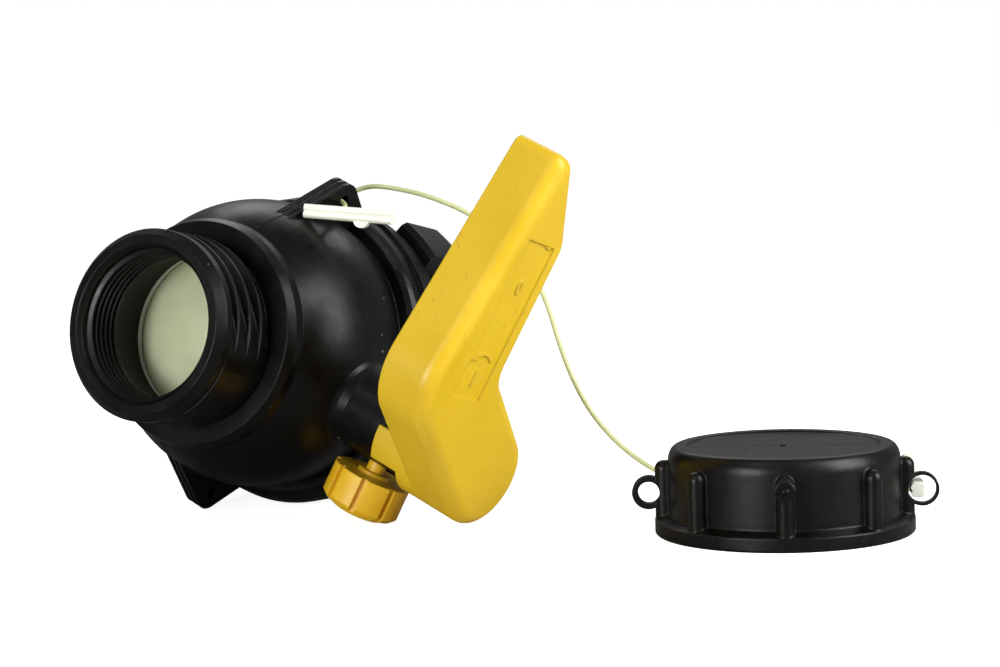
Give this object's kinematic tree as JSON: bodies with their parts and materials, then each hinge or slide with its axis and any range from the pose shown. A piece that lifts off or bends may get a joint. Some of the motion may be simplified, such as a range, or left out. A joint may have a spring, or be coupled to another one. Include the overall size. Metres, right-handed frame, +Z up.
{
  "type": "intermediate bulk container outlet valve",
  "caption": "Quarter-turn plastic ball valve with threaded spout, dog-leg lever, locking screw and rear coupling nut, tethered to its ribbed screw-on dust cap.",
  "frame": {"origin": "centre of the bounding box of valve and cap, without the tether and its toggles, on the surface they lie on", "axes": "+Z up; +X from the valve to the cap beside it; the spout looks towards -Y and a little to -X"},
  "size_m": [0.2642, 0.1828, 0.1216],
  "materials": {
    "black_pp": "satin moulded black polypropylene",
    "ball_white": "natural greenish-white moulded plastic",
    "handle_yellow": "satin yellow moulded plastic",
    "knob_yellow": "orange-yellow moulded plastic",
    "pin_grey": "grey plastic",
    "seat_white": "white fluoropolymer",
    "stem_grey": "dark glass-filled plastic",
    "steel": "stainless spring steel",
    "rubber": "black rubber",
    "tether_white": "ivory flexible plastic"
  },
  "bodies": {
    "body": {"valve_body": "black_pp", "tail_piece": "black_pp", "tail_seal": "rubber", "front_seat": "seat_white", "rear_seat": "seat_white", "stop_ring": "steel", "tank_gasket": "rubber", "stem_washer": "seat_white", "tether": "tether_white", "toggle_valve": "tether_white"},
    "handle": {"handle": "handle_yellow", "stem": "stem_grey", "ball": "ball_white", "stem_seal_lower": "rubber", "stem_seal_upper": "rubber", "stem_clip": "steel"},
    "lock_pad": {"locking_pad": "pin_grey"},
    "lock_screw": {"locking_screw": "knob_yellow"},
    "nut": {"coupling_nut": "black_pp"},
    "cap": {"dust_cap": "black_pp", "cap_gasket": "rubber", "toggle_cap": "tether_white"}
  },
  "joints": [
    {"name": "handle_turn", "type": "hinge", "parent": "body", "child": "handle", "pos_m": [-0.0319, -0.01657, 0.03107], "axis": [0.7568, -0.5092, -0.4099], "range_deg": [0, 90]},
    {"name": "lock_slide", "type": "slide", "parent": "body", "child": "lock_pad", "axis": [-0.4478, 0.0529, -0.8926], "range_m": [0, 0.003]},
    {"name": "lock_turn", "type": "hinge", "parent": "lock_pad", "child": "lock_screw", "pos_m": [-0.03974, -0.01565, 0.01545], "axis": [-0.4478, 0.0529, -0.8926], "range_deg": [0, 720]},
    {"name": "nut_turn", "type": "hinge", "parent": "body", "child": "nut", "pos_m": [-0.05338, 0.05685, 0.0462], "axis": [-0.4762, -0.859, 0.188], "continuous": true},
    {"name": "cap_lift", "type": "slide", "parent": "body", "child": "cap", "axis": [0, 0, 1], "range_m": [0, 0.06]}
  ],
  "couplings": [
    {"joint": "lock_turn", "follows": "lock_slide", "rad_per_m": 4188.8}
  ]
}
